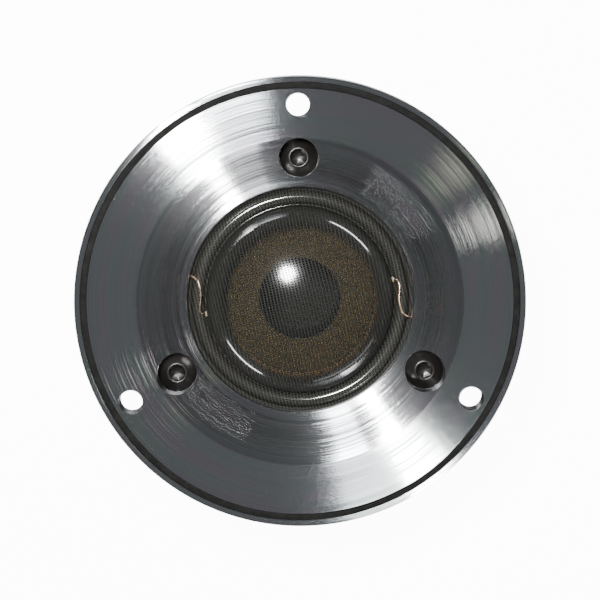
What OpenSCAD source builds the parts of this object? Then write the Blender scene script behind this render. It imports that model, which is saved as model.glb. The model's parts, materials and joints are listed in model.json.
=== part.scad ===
// Car tweeter, 28 mm soft dome, in a turned aluminium faceplate with a flared mouth.
// Millimetres. +Z points forward along the acoustic axis. The origin is on that axis, in the
// plane where the back of the flange seats on a panel. The part stands on its flat back.

/* [Faceplate] */
// Diameter of the flange
flange_d = 66; // [65:0.5:80]
// Thickness of the flange
flange_h = 5; // [4.6:0.1:7]
// Width of the rim outside the front groove
rim_w = 0.86; // [0.6:0.02:1.2]
// Width of the front groove
groove_w = 1; // [0.6:0.1:1.2]
// Depth of the front groove
groove_depth = 1.2; // [0.6:0.1:2]
// Depth of the rubber ring's top below the face
ring_drop = 0.35; // [0.1:0.05:0.5]
// Width of the flat face between the groove and the flare
flat_w = 7.2; // [6.6:0.1:7.4]
// Gap between the surround's roll and the throat's edge
throat_gap = 0.5; // [0.3:0.05:1]
// Thickness of the throat's edge
lip_t = 1.2; // [0.8:0.1:1.5]
// Wall of the spigot round the top plate
spigot_wall = 0.9; // [0.6:0.1:1]
// Depth of the spigot behind the flange
spigot_h = 4.5; // [3:0.1:6]
// Chamfer on the flange's and the spigot's edges
edge_chamfer = 0.25; // [0.1:0.05:0.4]

/* [Mounting holes] */
// Number of mounting holes
mount_count = 3; // [3:1:4]
// Distance from the flange's edge to the middle of a mounting hole
mount_inset = 4.25; // [3.9:0.05:4.4]
// Diameter of each mounting hole
mount_hole_d = 3.4; // [2.8:0.1:3.6]
// Chamfer round each mounting hole
mount_chamfer = 0.2; // [0.1:0.05:0.4]

/* [Faceplate screws] */
// Thread diameter of a screw
screw_d = 3; // [2.5:0.1:3.2]
// Length of a screw under its head
screw_l = 6; // [5:0.5:7]
// Diameter of a button head
head_d = 5.7; // [5:0.1:6.9]
// Height of a button head
head_h = 1.65; // [1.2:0.05:2]
// Width of the hexagon socket across its flats
socket_af = 2; // [1.5:0.1:2.2]
// Depth of the hexagon socket
socket_depth = 1; // [0.7:0.1:1.2]
// Height of the face that a head seats on, above the flange's back
head_seat = 0.75; // [0.3:0.05:1]
// Wall between a screw's hole and the room over the surround's landing
screw_wall = 0.8; // [0.5:0.1:1.2]

/* [Diaphragm] */
// Outer diameter of the voice coil's former
coil_d = 28; // [23:0.5:28]
// Wall of the former
former_t = 0.15; // [0.1:0.01:0.2]
// Length of the former
former_h = 5.6; // [5.2:0.1:6]
// Build of the copper winding on the former
winding_t = 0.42; // [0.3:0.02:0.5]
// Length of the winding
winding_h = 3.2; // [2:0.1:3.6]
// Radius of the dome's crown
crown_r = 26; // [20:0.5:30]
// Radius of the dome's shoulder
shoulder_r = 3.5; // [3:0.1:5]
// Thickness of the coated cloth
cloth_t = 0.2; // [0.15:0.01:0.25]
// Width of the half-roll surround
roll_w = 2.1; // [1.9:0.05:2.1]
// Width of the surround's flat landing
landing_w = 2.3; // [1.8:0.1:2.4]

/* [Diaphragm frame] */
// Depth of the frame's top below the flange's back
frame_drop = 1.3; // [1.2:0.05:1.6]
// Thickness of the frame
frame_h = 1.2; // [1:0.1:1.6]
// Diameter of a locating pin
pin_d = 2; // [1.5:0.1:2.2]

/* [Terminals] */
// Width of the positive blade
blade_w_pos = 4.8; // [4:0.1:5.8]
// Width of the negative blade
blade_w_neg = 2.8; // [2.4:0.1:3.4]
// Thickness of a blade
blade_t = 0.5; // [0.4:0.05:0.6]
// Distance from a blade's outer face to the top plate's edge
blade_inset = 0.6; // [0.5:0.05:0.8]
// Room between a blade and the magnet, for a receptacle
blade_room = 1.4; // [1.2:0.1:2]
// Depth of a blade's tip behind the flange's back
blade_reach = 14; // [12:0.5:16]
// Diameter of the locking hole near a blade's tip
blade_hole_d = 1.2; // [1:0.1:1.4]
// Diameter of a lead wire
lead_d = 0.3; // [0.2:0.02:0.3]

/* [Motor] */
// Width of the top plate outside the circle of screws
plate_margin = 4; // [3.8:0.1:4.4]
// Thickness of the top plate
top_plate_h = 4; // [3.3:0.1:4.8]
// Radial gap between the former's outside and the top plate
outer_gap = 0.75; // [0.65:0.05:0.9]
// Radial gap between the former's inside and the copper cap
inner_gap = 0.45; // [0.3:0.05:0.6]
// Distance that the magnet's bore stands back from the gap
magnet_step = 1.55; // [1:0.05:2]
// Height of the magnet ring
magnet_h = 6; // [5:0.1:8]
// Thickness of the yoke's back plate
yoke_h = 4; // [4:0.1:6]
// Diameter of the vent bored through the pole
vent_d = 12; // [6:0.5:14]
// Wall of the copper cap on the pole
cap_t = 0.3; // [0.2:0.05:0.4]
// Width of the pole's rim outside the felt ring
felt_margin = 2.2; // [1.8:0.1:3]
// Height of the felt ring
felt_h = 1; // [0.6:0.1:1.2]

/* [Rear chamber] */
// Depth of the rear chamber
chamber_h = 11.5; // [11:0.5:16]
// Chamfer on the chamber's back edge
back_chamfer = 0.8; // [0.4:0.1:1]
// Thickness of its back wall
back_wall = 2; // [1.5:0.1:3]
// Least wall between a rear screw's recess and the cavity or the grooves
chamber_wall = 0.9; // [0.7:0.1:1.2]
// Number of cooling grooves round the chamber
fin_grooves = 3; // [1:1:3]
// Width of a cooling groove
fin_groove_w = 1.2; // [0.8:0.1:1.4]
// Depth of a cooling groove
fin_groove_depth = 1.8; // [0.8:0.1:1.8]
// Spacing of the cooling grooves
fin_pitch = 2.6; // [2.2:0.1:2.8]
// Thread diameter of a rear screw
rear_screw_d = 2.5; // [2:0.1:2.6]
// Head diameter of a rear screw
rear_head_d = 4.5; // [4:0.1:4.6]
// Head height of a rear screw
rear_head_h = 2.5; // [2:0.1:2.6]
// Depth of thread that a rear screw takes in the yoke
rear_grip = 3.3; // [2.5:0.1:3.5]
// Section diameter of the chamber's O-ring
seal_d = 0.8; // [0.6:0.05:0.8]
// Thickness of the damping pad in the chamber
damping_h = 5; // [3:0.5:7]

/* [Fits] */
// Clearance round a screw head, a screw's shank or a locating pin
fit = 0.1; // [0.05:0.01:0.15]
// Space kept between the cloth and the metal over it
cloth_space = 0.2; // [0.15:0.05:0.3]

/* [Hidden] */
$fn = 96;
eps = 0.01;
screw_count = 3;
screw_start = 90;
tip_chamfer = 0.4;
rear_screw_start = 30;
pin_angles = [60, 240];
// Where the two leads leave the throat: positive first, then negative
lead_angles = [167.1, 350];

// Heights, from the front to the back
face_z = flange_h;
frame_top_z = -frame_drop;
cloth_top_z = frame_top_z + cloth_t;
lip_z = cloth_top_z + cloth_space;
throat_z = lip_z + lip_t;
plate_top_z = frame_top_z - frame_h;
plate_bottom_z = plate_top_z - top_plate_h;
yoke_top_z = plate_bottom_z - magnet_h;
yoke_bottom_z = yoke_top_z - yoke_h;
back_z = yoke_bottom_z - chamber_h;

// Radii of the diaphragm, from the axis outwards
former_out_r = coil_d / 2;
former_in_r = former_out_r - former_t;
dome_r = former_in_r;
roll_crest_r = former_out_r + roll_w / 2;
roll_out_r = former_out_r + roll_w;
landing_r = roll_out_r + landing_w;
landing_clear_r = landing_r + cloth_space;

// Radii of the motor and the parts clamped to it
screw_r = landing_clear_r + screw_wall + screw_d / 2 + fit;
top_plate_r = screw_r + plate_margin;
gap_r = former_out_r + outer_gap;
pole_r = former_in_r - inner_gap - cap_t;
vent_r = vent_d / 2;
felt_r = pole_r - felt_margin;
blade_r = top_plate_r - blade_inset;
magnet_r = blade_r - blade_t - blade_room;
magnet_bore_r = gap_r + magnet_step;
recess_r = top_plate_r + fit;
frame_in_r = roll_out_r + fit;
frame_out_r = recess_r - 2 * fit;
winding_z = (plate_top_z + plate_bottom_z) / 2;
// The copper cap reaches this far below the top plate
cap_overlap = 1;

pin_top_z = frame_top_z + 1;

// Radii of the faceplate
flange_r = flange_d / 2;
mount_r = flange_r - mount_inset;
groove_out_r = flange_r - rim_w;
groove_in_r = groove_out_r - groove_w;
mouth_r = groove_in_r - flat_w;
throat_r = roll_out_r + throat_gap;
spigot_r = recess_r + spigot_wall;

// The dome's crown and shoulder are two arcs that meet without a corner
shoulder_x = dome_r - shoulder_r;
shoulder_z = cloth_top_z + cloth_t;
crown_z = shoulder_z - sqrt(pow(crown_r - shoulder_r, 2) - pow(shoulder_x, 2));

// Terminals
leaf_in_r = landing_clear_r + 0.3;
leaf_top_z = frame_top_z + blade_t;
blade_ws = [blade_w_pos, blade_w_neg];
// Each blade narrows to its tip by this width on both sides, over this height
blade_point_w = 0.8;
blade_point_h = 1;
// Height of the locking hole above a blade's tip
blade_hole_at = 3.5;
pocket_top_z = frame_top_z + 1.1;
pocket_w = blade_w_pos + 1.2;
channel_w = 1.6;
insulator_wall = 0.7;
insulator_in_r = blade_r - blade_t - insulator_wall;
insulator_out_r = top_plate_r - fit;
insulator_flange = 0.8;
rivet_r = 0.6;
rivet_head_r = 1.1;
rivet_head_h = 0.4;
rivet_at = blade_r - blade_t - 2.1;
solder_r = 0.6;
solder_h = 0.45;
solder_at = leaf_in_r + 1;

// A lead's route from its solder joint to its glue spot, as [distance outside the former,
// angle, height above the frame]. The angle is counted from where it leaves the throat.
lead_route = [
    [5.3, 0, 0.65],
    [4.2, 0, 0.7],
    [3.2, 0, 0.8],
    [2.6, 0.1, 0.9],
    [1.9, 0.6, 1.25],
    [1.3, 2, 1.6],
    [0.95, 4.2, 1.7],
    [0.7, 7, 1.7],
    [0.6, 10, 1.65],
    [0.65, 13.2, 1.6],
    [0.75, 16, 1.55],
    [0.8, 18.2, 1.45],
    [0.7, 19.9, 1.3],
    [0.45, 20.9, 1],
    [0.15, 21.2, 0.8]
];
glue_from = 21.5;
glue_span = 2.4;
glue_h = 0.55;

// The rear chamber and its screws
chamber_r = magnet_r;
rear_recess_r = rear_head_d / 2 + fit;
rear_screw_r = chamber_r - fin_groove_depth - chamber_wall - rear_recess_r;
cavity_r = rear_screw_r - rear_recess_r - chamber_wall;
// Depth of a rear head's recess, and of its hexagon socket
rear_head_depth = rear_head_h + 0.3;
rear_socket_depth = 1.2;
rear_seat_z = back_z + rear_head_depth;
rear_tip_z = yoke_bottom_z + rear_grip;
seal_r = cavity_r + seal_d + 0.3;
first_groove_z = yoke_bottom_z - 2.6;

// Height of the flare at a radius: part of a cosine wave, shallow at the throat and
// steepest halfway up, which reaches the face at a slight angle
flare_from = 18;
flare_to = 152;
flare_steps = 16;
function flare_share(t) =
    (cos(flare_from) - cos(flare_from + (flare_to - flare_from) * t))
    / (cos(flare_from) - cos(flare_to));
function flare_points() = [
    for (i = [0:flare_steps])
        let (t = i / flare_steps)
        [throat_r + (mouth_r - throat_r) * t, throat_z + (face_z - throat_z) * flare_share(t)]
];

// Children, repeated round the axis
module round_axis(count, start, r) {
    for (i = [0:count - 1])
        rotate([0, 0, start + i * 360 / count])
            translate([r, 0, 0])
                children();
}

// A plain ring
module ring(r_out, r_in, z_from, z_to) {
    translate([0, 0, z_from])
        difference() {
            cylinder(r = r_out, h = z_to - z_from);
            translate([0, 0, -1])
                cylinder(r = r_in, h = z_to - z_from + 2);
        }
}

// A box that runs outwards along +X, centred on the X axis
module radial_box(r_from, r_to, w, z_from, z_to) {
    translate([r_from, -w / 2, z_from])
        cube([r_to - r_from, w, z_to - z_from]);
}

module faceplate_body() {
    rotate_extrude()
        polygon(concat(
            flare_points(),
            [
                [groove_in_r, face_z],
                [groove_in_r, face_z - groove_depth],
                [groove_out_r, face_z - groove_depth],
                [groove_out_r, face_z],
                [flange_r - edge_chamfer, face_z],
                [flange_r, face_z - edge_chamfer],
                [flange_r, edge_chamfer],
                [flange_r - edge_chamfer, 0],
                [spigot_r, 0],
                [spigot_r, edge_chamfer - spigot_h],
                [spigot_r - edge_chamfer, -spigot_h],
                [recess_r, -spigot_h],
                [recess_r, frame_top_z],
                [landing_clear_r, frame_top_z],
                [landing_clear_r, lip_z],
                [throat_r, lip_z]
            ]
        ));
}

module mounting_hole() {
    translate([0, 0, -1])
        cylinder(d = mount_hole_d, h = flange_h + 2);
    translate([0, 0, face_z - mount_chamfer])
        cylinder(r1 = mount_hole_d / 2, r2 = mount_hole_d / 2 + 2 * mount_chamfer, h = 2 * mount_chamfer);
}

module counterbored_hole() {
    translate([0, 0, head_seat])
        cylinder(r = head_d / 2 + fit, h = flange_h);
    translate([0, 0, frame_top_z - 1])
        cylinder(r = screw_d / 2 + fit, h = flange_h);
}

// Room under the faceplate for a terminal's leaf, with a channel for its lead
module terminal_pocket() {
    radial_box(landing_clear_r - 0.5, recess_r - fit, pocket_w, frame_top_z - 1, pocket_top_z);
    radial_box(throat_r - 1, landing_clear_r, channel_w, frame_top_z - 1, pocket_top_z);
}

module pin_hole(z_from, z_to) {
    for (a = pin_angles)
        rotate([0, 0, a])
            translate([screw_r, 0, z_from])
                cylinder(r = pin_d / 2 + fit / 2, h = z_to - z_from);
}

module faceplate() {
    color("silver")
        difference() {
            faceplate_body();
            round_axis(mount_count, screw_start, mount_r)
                mounting_hole();
            round_axis(screw_count, screw_start, screw_r)
                counterbored_hole();
            for (a = lead_angles)
                rotate([0, 0, a])
                    terminal_pocket();
            pin_hole(frame_top_z - 1, pin_top_z + 0.3);
        }
}

module groove_ring() {
    color("#1d1d1c")
        ring(groove_out_r, groove_in_r, face_z - groove_depth, face_z - ring_drop);
}

// A button head with a hexagon socket. Its seat is at z = 0.
module button_head() {
    edge_h = 0.2;
    cap_h = head_h - edge_h;
    cap_r = (pow(head_d / 2, 2) + pow(cap_h, 2)) / (2 * cap_h);
    socket_r = socket_af / sqrt(3);
    difference() {
        rotate_extrude()
            intersection() {
                translate([0, head_h - cap_r])
                    circle(r = cap_r);
                square([head_d / 2, head_h]);
            }
        translate([0, 0, head_h - socket_depth])
            cylinder(r = socket_r, h = 2, $fn = 6);
        translate([0, 0, head_h - 0.2])
            cylinder(r1 = socket_r * 0.9, r2 = socket_r * 1.3, h = 0.3);
    }
}

module faceplate_screws() {
    color("#2b2724")
        round_axis(screw_count, screw_start, screw_r)
            translate([0, 0, head_seat]) {
                button_head();
                translate([0, 0, tip_chamfer - screw_l])
                    cylinder(d = screw_d, h = screw_l);
                translate([0, 0, -screw_l])
                    cylinder(d1 = screw_d - 2 * tip_chamfer, d2 = screw_d, h = tip_chamfer);
            }
}

module diaphragm_frame() {
    color("#262626")
        difference() {
            ring(frame_out_r, frame_in_r, plate_top_z, frame_top_z);
            round_axis(screw_count, screw_start, screw_r)
                translate([0, 0, plate_top_z - 1])
                    cylinder(r = screw_d / 2 + fit, h = frame_h + 2);
            pin_hole(plate_top_z - 1, frame_top_z + 1);
            for (i = [0, 1])
                rotate([0, 0, lead_angles[i]]) {
                    w = blade_ws[i] + 2 * fit;
                    radial_box(blade_r - blade_t - fit, blade_r + 2, w, plate_top_z - 1, frame_top_z + 1);
                    translate([rivet_at, 0, plate_top_z + 0.2])
                        cylinder(r = rivet_r, h = frame_h);
                }
        }
}

module locating_pins() {
    color("#9a9a98")
        for (a = pin_angles)
            rotate([0, 0, a])
                translate([screw_r, 0, plate_bottom_z + 1])
                    cylinder(d = pin_d, h = pin_top_z - plate_bottom_z - 1);
}

// The half-roll with its flat landing outside and its glued edge inside
module surround() {
    roll_r = roll_w / 2;
    color("#3b3b36")
        rotate_extrude() {
            difference() {
                translate([roll_crest_r, frame_top_z])
                    circle(r = roll_r);
                translate([roll_crest_r, frame_top_z])
                    circle(r = roll_r - cloth_t);
                translate([former_out_r - 1, frame_top_z - 3])
                    square([roll_w + 2, 3]);
            }
            translate([roll_out_r - cloth_t, frame_top_z])
                square([landing_w + cloth_t, cloth_t]);
        }
}

// The space inside the cloth cap's outer face, moved inwards by inset: a crown, a shoulder
// whose centre lies on the crown's edge, and a short skirt that goes inside the former
module dome_outline(inset) {
    intersection() {
        translate([0, crown_z])
            circle(r = crown_r - inset);
        polygon([
            [0, crown_z],
            [0, crown_z + 2 * crown_r],
            [2 * shoulder_x, 2 * shoulder_z - crown_z]
        ]);
    }
    intersection() {
        translate([shoulder_x, shoulder_z])
            circle(r = shoulder_r - inset);
        translate([0, shoulder_z])
            square([dome_r, shoulder_r]);
    }
    translate([0, frame_top_z])
        square([dome_r - inset, shoulder_z - frame_top_z]);
}

module dome() {
    color("#34332d")
        rotate_extrude()
            difference() {
                dome_outline(0);
                dome_outline(cloth_t);
                translate([-eps, frame_top_z - 1])
                    square([dome_r - cloth_t + eps, shoulder_z - frame_top_z + 1 + eps]);
            }
}

module voice_coil_former() {
    color("#6b3d1e")
        ring(former_out_r, former_in_r, cloth_top_z - former_h, cloth_top_z);
}

module voice_coil_winding() {
    color("#b4632f")
        ring(former_out_r + winding_t, former_out_r, winding_z - winding_h / 2, winding_z + winding_h / 2);
}

// A tube along a list of points, with flat ends
tube_sides = 8;
function route_point(p) =
    let (r = former_out_r + p[0])
    [r * cos(p[1]), r * sin(p[1]), frame_top_z + p[2]];
function unit(v) = v / norm(v);
function way(points, i) =
    unit(points[min(i + 1, len(points) - 1)] - points[max(i - 1, 0)]);
function ring_points(points, i, r) =
    let (d = way(points, i), side = unit(cross(d, [0, 0, 1])), up = cross(side, d))
    [
        for (k = [0:tube_sides - 1])
            let (a = k * 360 / tube_sides)
            points[i] + r * (side * cos(a) + up * sin(a))
    ];
module tube(points, r) {
    n = len(points);
    polyhedron(
        points = [for (i = [0:n - 1]) each ring_points(points, i, r)],
        faces = concat(
            [[for (k = [0:tube_sides - 1]) k]],
            [
                for (i = [0:n - 2], k = [0:tube_sides - 1])
                    let (m = (k + 1) % tube_sides, a = i * tube_sides, b = a + tube_sides)
                    each [[a + k, b + k, b + m], [a + k, b + m, a + m]]
            ],
            [[for (k = [tube_sides - 1:-1:0]) (n - 1) * tube_sides + k]]
        )
    );
}

// Points halfway along a smooth curve through the route's own points
function between(p, i) =
    let (a = p[max(i - 1, 0)], b = p[i], c = p[i + 1], d = p[min(i + 2, len(p) - 1)])
    (9 * (b + c) - a - d) / 16;
function smoothed(p) = [
    for (i = [0:len(p) - 2]) each [p[i], between(p, i)],
    p[len(p) - 1]
];

module lead_wire(angle) {
    color("#c98d62")
        rotate([0, 0, angle])
            tube(smoothed([for (p = lead_route) route_point(p)]), lead_d / 2);
}
module lead_wire_left() {
    lead_wire(lead_angles[0]);
}
module lead_wire_right() {
    lead_wire(lead_angles[1]);
}

// Each spot fills the valley between the dome and the roll
module lead_glue_spots() {
    low = cloth_top_z + 0.05;
    high = low + glue_h;
    color("#8c8468")
        for (a = lead_angles)
            rotate([0, 0, a + glue_from])
                rotate_extrude(angle = glue_span)
                    polygon([
                        [former_out_r, low],
                        [former_out_r + 0.05, low],
                        [former_out_r + 0.17, high],
                        [dome_r + 0.03, high]
                    ]);
}

module solder_joints() {
    color("#b9bcbe")
        for (a = lead_angles)
            rotate([0, 0, a])
                translate([solder_at, 0, leaf_top_z])
                    cylinder(r1 = solder_r, r2 = solder_r * 0.5, h = solder_h);
}

// A leaf on the diaphragm frame, bent back into a blade
module terminal(w) {
    difference() {
        union() {
            radial_box(leaf_in_r, blade_r, w, frame_top_z, leaf_top_z);
            radial_box(blade_r - blade_t, blade_r, w, blade_point_h - blade_reach, leaf_top_z);
            translate([blade_r - blade_t, 0, -blade_reach])
                rotate([90, 0, 90])
                    linear_extrude(blade_t)
                        polygon([
                            [blade_point_w - w / 2, 0],
                            [w / 2 - blade_point_w, 0],
                            [w / 2, blade_point_h],
                            [-w / 2, blade_point_h]
                        ]);
        }
        translate([rivet_at, 0, frame_top_z - 1])
            cylinder(r = rivet_r, h = 3);
        translate([blade_r - 2, 0, blade_hole_at - blade_reach])
            rotate([0, 90, 0])
                cylinder(d = blade_hole_d, h = 3);
    }
}
module terminal_positive() {
    color("#c9a24a")
        rotate([0, 0, lead_angles[0]])
            terminal(blade_w_pos);
}
module terminal_negative() {
    color("#c2c4c4")
        rotate([0, 0, lead_angles[1]])
            terminal(blade_w_neg);
}

module terminal_rivets() {
    color("#c9a24a")
        for (a = lead_angles)
            rotate([0, 0, a])
                translate([rivet_at, 0, 0]) {
                    translate([0, 0, plate_top_z + 0.2])
                        cylinder(r = rivet_r, h = leaf_top_z - plate_top_z - 0.2 + eps);
                    translate([0, 0, leaf_top_z])
                        cylinder(r1 = rivet_head_r, r2 = rivet_head_r * 0.7, h = rivet_head_h);
                }
}

// A moulded block that keeps each blade off the top plate
module terminal_insulators() {
    color("#1f1f20")
        for (i = [0, 1])
            rotate([0, 0, lead_angles[i]])
                difference() {
                    w = blade_ws[i] + 2 * insulator_wall;
                    union() {
                        radial_box(insulator_in_r, insulator_out_r, w, plate_bottom_z - eps, plate_top_z);
                        radial_box(
                            insulator_in_r, insulator_out_r, w + 2 * insulator_wall,
                            plate_bottom_z - insulator_flange, plate_bottom_z
                        );
                    }
                    radial_box(
                        blade_r - blade_t, blade_r, blade_ws[i],
                        plate_bottom_z - 3, plate_top_z + 1
                    );
                }
}

module top_plate() {
    color("#3a3b3d")
        difference() {
            ring(top_plate_r, gap_r, plate_bottom_z, plate_top_z);
            round_axis(screw_count, screw_start, screw_r)
                translate([0, 0, plate_bottom_z - 1])
                    cylinder(d = screw_d, h = top_plate_h + 2);
            for (a = pin_angles)
                rotate([0, 0, a])
                    translate([screw_r, 0, plate_bottom_z + 1])
                        cylinder(d = pin_d, h = top_plate_h);
            for (i = [0, 1])
                rotate([0, 0, lead_angles[i]])
                    radial_box(
                        insulator_in_r, top_plate_r + 1, blade_ws[i] + 2 * insulator_wall,
                        plate_bottom_z - 1, plate_top_z + 1
                    );
        }
}

module magnet_ring() {
    color("#8f9397")
        ring(magnet_r, magnet_bore_r, yoke_top_z, plate_bottom_z);
}

// The back plate and the vented pole are one turning
module yoke() {
    color("#44464a")
        difference() {
            union() {
                translate([0, 0, yoke_bottom_z])
                    cylinder(r = magnet_r, h = yoke_h);
                translate([0, 0, yoke_bottom_z])
                    cylinder(r = pole_r, h = plate_top_z - yoke_bottom_z);
            }
            translate([0, 0, yoke_bottom_z - 1])
                cylinder(r = vent_r, h = plate_top_z - yoke_bottom_z + 2);
            round_axis(3, rear_screw_start, rear_screw_r)
                translate([0, 0, yoke_bottom_z - 1])
                    cylinder(d = rear_screw_d, h = rear_grip + 1.3);
        }
}

module copper_cap() {
    color("#9c5a33")
        difference() {
            translate([0, 0, plate_bottom_z - cap_overlap])
                cylinder(r = pole_r + cap_t, h = plate_top_z + cap_t - plate_bottom_z + cap_overlap);
            translate([0, 0, plate_bottom_z - cap_overlap - 1])
                cylinder(r = pole_r, h = top_plate_h + cap_overlap + 1);
            cylinder(r = felt_r, h = 20, center = true);
        }
}

module pole_felt_ring() {
    color("#6a5c43")
        ring(felt_r, vent_r, plate_top_z, plate_top_z + felt_h);
}

module rear_chamber() {
    color("#55585c")
        difference() {
            rotate_extrude()
                polygon([
                    [0, back_z],
                    [chamber_r - back_chamfer, back_z],
                    [chamber_r, back_z + back_chamfer],
                    [chamber_r, yoke_bottom_z],
                    [0, yoke_bottom_z]
                ]);
            translate([0, 0, back_z + back_wall])
                cylinder(r = cavity_r, h = chamber_h);
            for (i = [0:fin_grooves - 1])
                ring(
                    chamber_r + 1, chamber_r - fin_groove_depth,
                    first_groove_z - i * fin_pitch - fin_groove_w / 2,
                    first_groove_z - i * fin_pitch + fin_groove_w / 2
                );
            ring(
                seal_r + seal_d / 2, seal_r - seal_d / 2,
                yoke_bottom_z - seal_d, yoke_bottom_z + 1
            );
            round_axis(3, rear_screw_start, rear_screw_r) {
                translate([0, 0, back_z - 1])
                    cylinder(r = rear_screw_d / 2 + fit, h = chamber_h + 2);
                translate([0, 0, back_z - 1])
                    cylinder(r = rear_recess_r, h = rear_head_depth + 1);
            }
        }
}

module chamber_seal() {
    color("#161616")
        rotate_extrude()
            translate([seal_r, yoke_bottom_z - seal_d / 2])
                circle(r = seal_d / 2, $fn = 32);
}

module chamber_damping() {
    color("#c9c5b8")
        translate([0, 0, back_z + back_wall])
            cylinder(r = cavity_r - fit, h = damping_h);
}

module rear_chamber_screws() {
    color("#2b2724")
        round_axis(3, rear_screw_start, rear_screw_r)
            difference() {
                union() {
                    translate([0, 0, rear_seat_z - rear_head_h])
                        cylinder(d = rear_head_d, h = rear_head_h);
                    translate([0, 0, rear_seat_z - eps])
                        cylinder(d = rear_screw_d, h = rear_tip_z - rear_seat_z + eps);
                }
                translate([0, 0, rear_seat_z - rear_head_h - 1])
                    cylinder(r = socket_af / sqrt(3), h = rear_socket_depth + 1, $fn = 6);
            }
}

faceplate();
groove_ring();
faceplate_screws();
diaphragm_frame();
locating_pins();
surround();
dome();
voice_coil_former();
voice_coil_winding();
lead_wire_left();
lead_wire_right();
lead_glue_spots();
solder_joints();
terminal_positive();
terminal_negative();
terminal_rivets();
terminal_insulators();
top_plate();
magnet_ring();
yoke();
copper_cap();
pole_felt_ring();
rear_chamber();
chamber_seal();
chamber_damping();
rear_chamber_screws();
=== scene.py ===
"""Car tweeter: a 28 mm silk dome behind a turned aluminium faceplate with a flared mouth."""
import json
import math

import bmesh
import bpy
import numpy as np
from mathutils import Matrix, Vector

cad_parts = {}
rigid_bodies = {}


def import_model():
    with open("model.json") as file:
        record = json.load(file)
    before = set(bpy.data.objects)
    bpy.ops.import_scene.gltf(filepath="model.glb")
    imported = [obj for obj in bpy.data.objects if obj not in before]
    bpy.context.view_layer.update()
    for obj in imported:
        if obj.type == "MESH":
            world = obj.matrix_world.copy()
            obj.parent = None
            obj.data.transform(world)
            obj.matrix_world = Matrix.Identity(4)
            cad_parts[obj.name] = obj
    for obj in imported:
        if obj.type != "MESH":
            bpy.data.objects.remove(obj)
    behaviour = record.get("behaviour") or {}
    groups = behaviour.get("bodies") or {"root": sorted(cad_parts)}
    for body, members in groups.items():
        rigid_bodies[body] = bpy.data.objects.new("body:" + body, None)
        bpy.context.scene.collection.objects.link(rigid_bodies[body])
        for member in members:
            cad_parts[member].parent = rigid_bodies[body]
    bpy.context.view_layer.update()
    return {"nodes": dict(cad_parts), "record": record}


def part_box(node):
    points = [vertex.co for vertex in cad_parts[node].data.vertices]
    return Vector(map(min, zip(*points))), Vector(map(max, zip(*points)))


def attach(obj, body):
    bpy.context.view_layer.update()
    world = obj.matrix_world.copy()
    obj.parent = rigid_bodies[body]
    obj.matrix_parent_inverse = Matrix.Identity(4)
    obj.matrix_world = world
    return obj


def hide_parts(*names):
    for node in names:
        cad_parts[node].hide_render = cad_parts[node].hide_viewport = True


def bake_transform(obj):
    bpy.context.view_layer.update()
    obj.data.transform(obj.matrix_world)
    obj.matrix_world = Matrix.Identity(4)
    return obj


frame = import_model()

MM = 0.001
TAU = 2 * math.pi
BODY_OF = {
    node: body for body, nodes in frame["record"]["behaviour"]["bodies"].items() for node in nodes
}


# ------------------------------------------------------------------ sizes, in millimetres
def width_of(node):
    """Half the width of a round CAD node."""
    low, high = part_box(node)
    return (high.x - low.x) / 2 / MM


def low_of(node):
    """Height of a CAD node's lowest point."""
    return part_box(node)[0].z / MM


def top_of(node):
    """Height of a CAD node's highest point."""
    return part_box(node)[1].z / MM


FACE_Z = top_of("faceplate")
FLANGE_R = width_of("faceplate")
SPIGOT_Z = low_of("faceplate")
GROOVE_R = width_of("groove_ring")
GROOVE_W = 1.0
GROOVE_Z = low_of("groove_ring")
FLAT_W = 7.2
MOUTH_R = GROOVE_R - GROOVE_W - FLAT_W
CLOTH_T = 0.2
COIL_R = width_of("voice_coil_former")
DOME_R = width_of("dome")
ROLL_R = 1.05
ROLL_OUT_R = COIL_R + 2 * ROLL_R
THROAT_R = ROLL_OUT_R + 0.5
LANDING_R = width_of("surround")
LANDING_CLEAR_R = LANDING_R + 0.2
FRAME_TOP_Z = top_of("diaphragm_frame")
LIP_Z = FRAME_TOP_Z + CLOTH_T + 0.2
THROAT_Z = LIP_Z + 1.2
RECESS_R = 25.1
SPIGOT_R = RECESS_R + 0.9
MOUNT_R = FLANGE_R - 4.25
MOUNT_HOLE_R = 1.7
SCREW_R = 21.0
SCREW_HEAD_R = 2.85
SCREW_HEAD_H = 1.65
SCREW_SEAT_Z = 0.75
SOCKET_R = 1.0
FIT = 0.1
THREAD_R = 1.5
SCREW_L = 6.0
SCREW_ANGLES = (90.0, 210.0, 330.0)
PIN_ANGLES = (60.0, 240.0)
LEAD_ANGLES = (167.1, 350.0)
GLUE_TURN = 21.4
SOLDER_R = LANDING_CLEAR_R + 1.3
RIVET_R = 21.8
BLADE_T = 0.5
BLADE_WIDTHS = (4.8, 2.8)
PLATE_R = 25.0
CAP_T = 0.3
GAP_R = COIL_R + 0.75
MAGNET_BORE_R = GAP_R + 1.55
PLATE_TOP_Z = top_of("copper_cap") - CAP_T
PLATE_LOW_Z = top_of("magnet_ring")
YOKE_TOP_Z = low_of("magnet_ring")
YOKE_LOW_Z = low_of("yoke")
MAGNET_R = width_of("magnet_ring")
VENT_R = 6.0
FELT_R = width_of("pole_felt_ring")
BACK_Z = low_of("rear_chamber")
CAVITY_R = 14.2
REAR_SCREW_R = 17.45
REAR_SCREW_ANGLES = (30.0, 150.0, 270.0)
REAR_HEAD_R = 2.25
REAR_HEAD_H = 2.5
REAR_RECESS = 2.8
REAR_TIP_Z = top_of("rear_chamber_screws")


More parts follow.
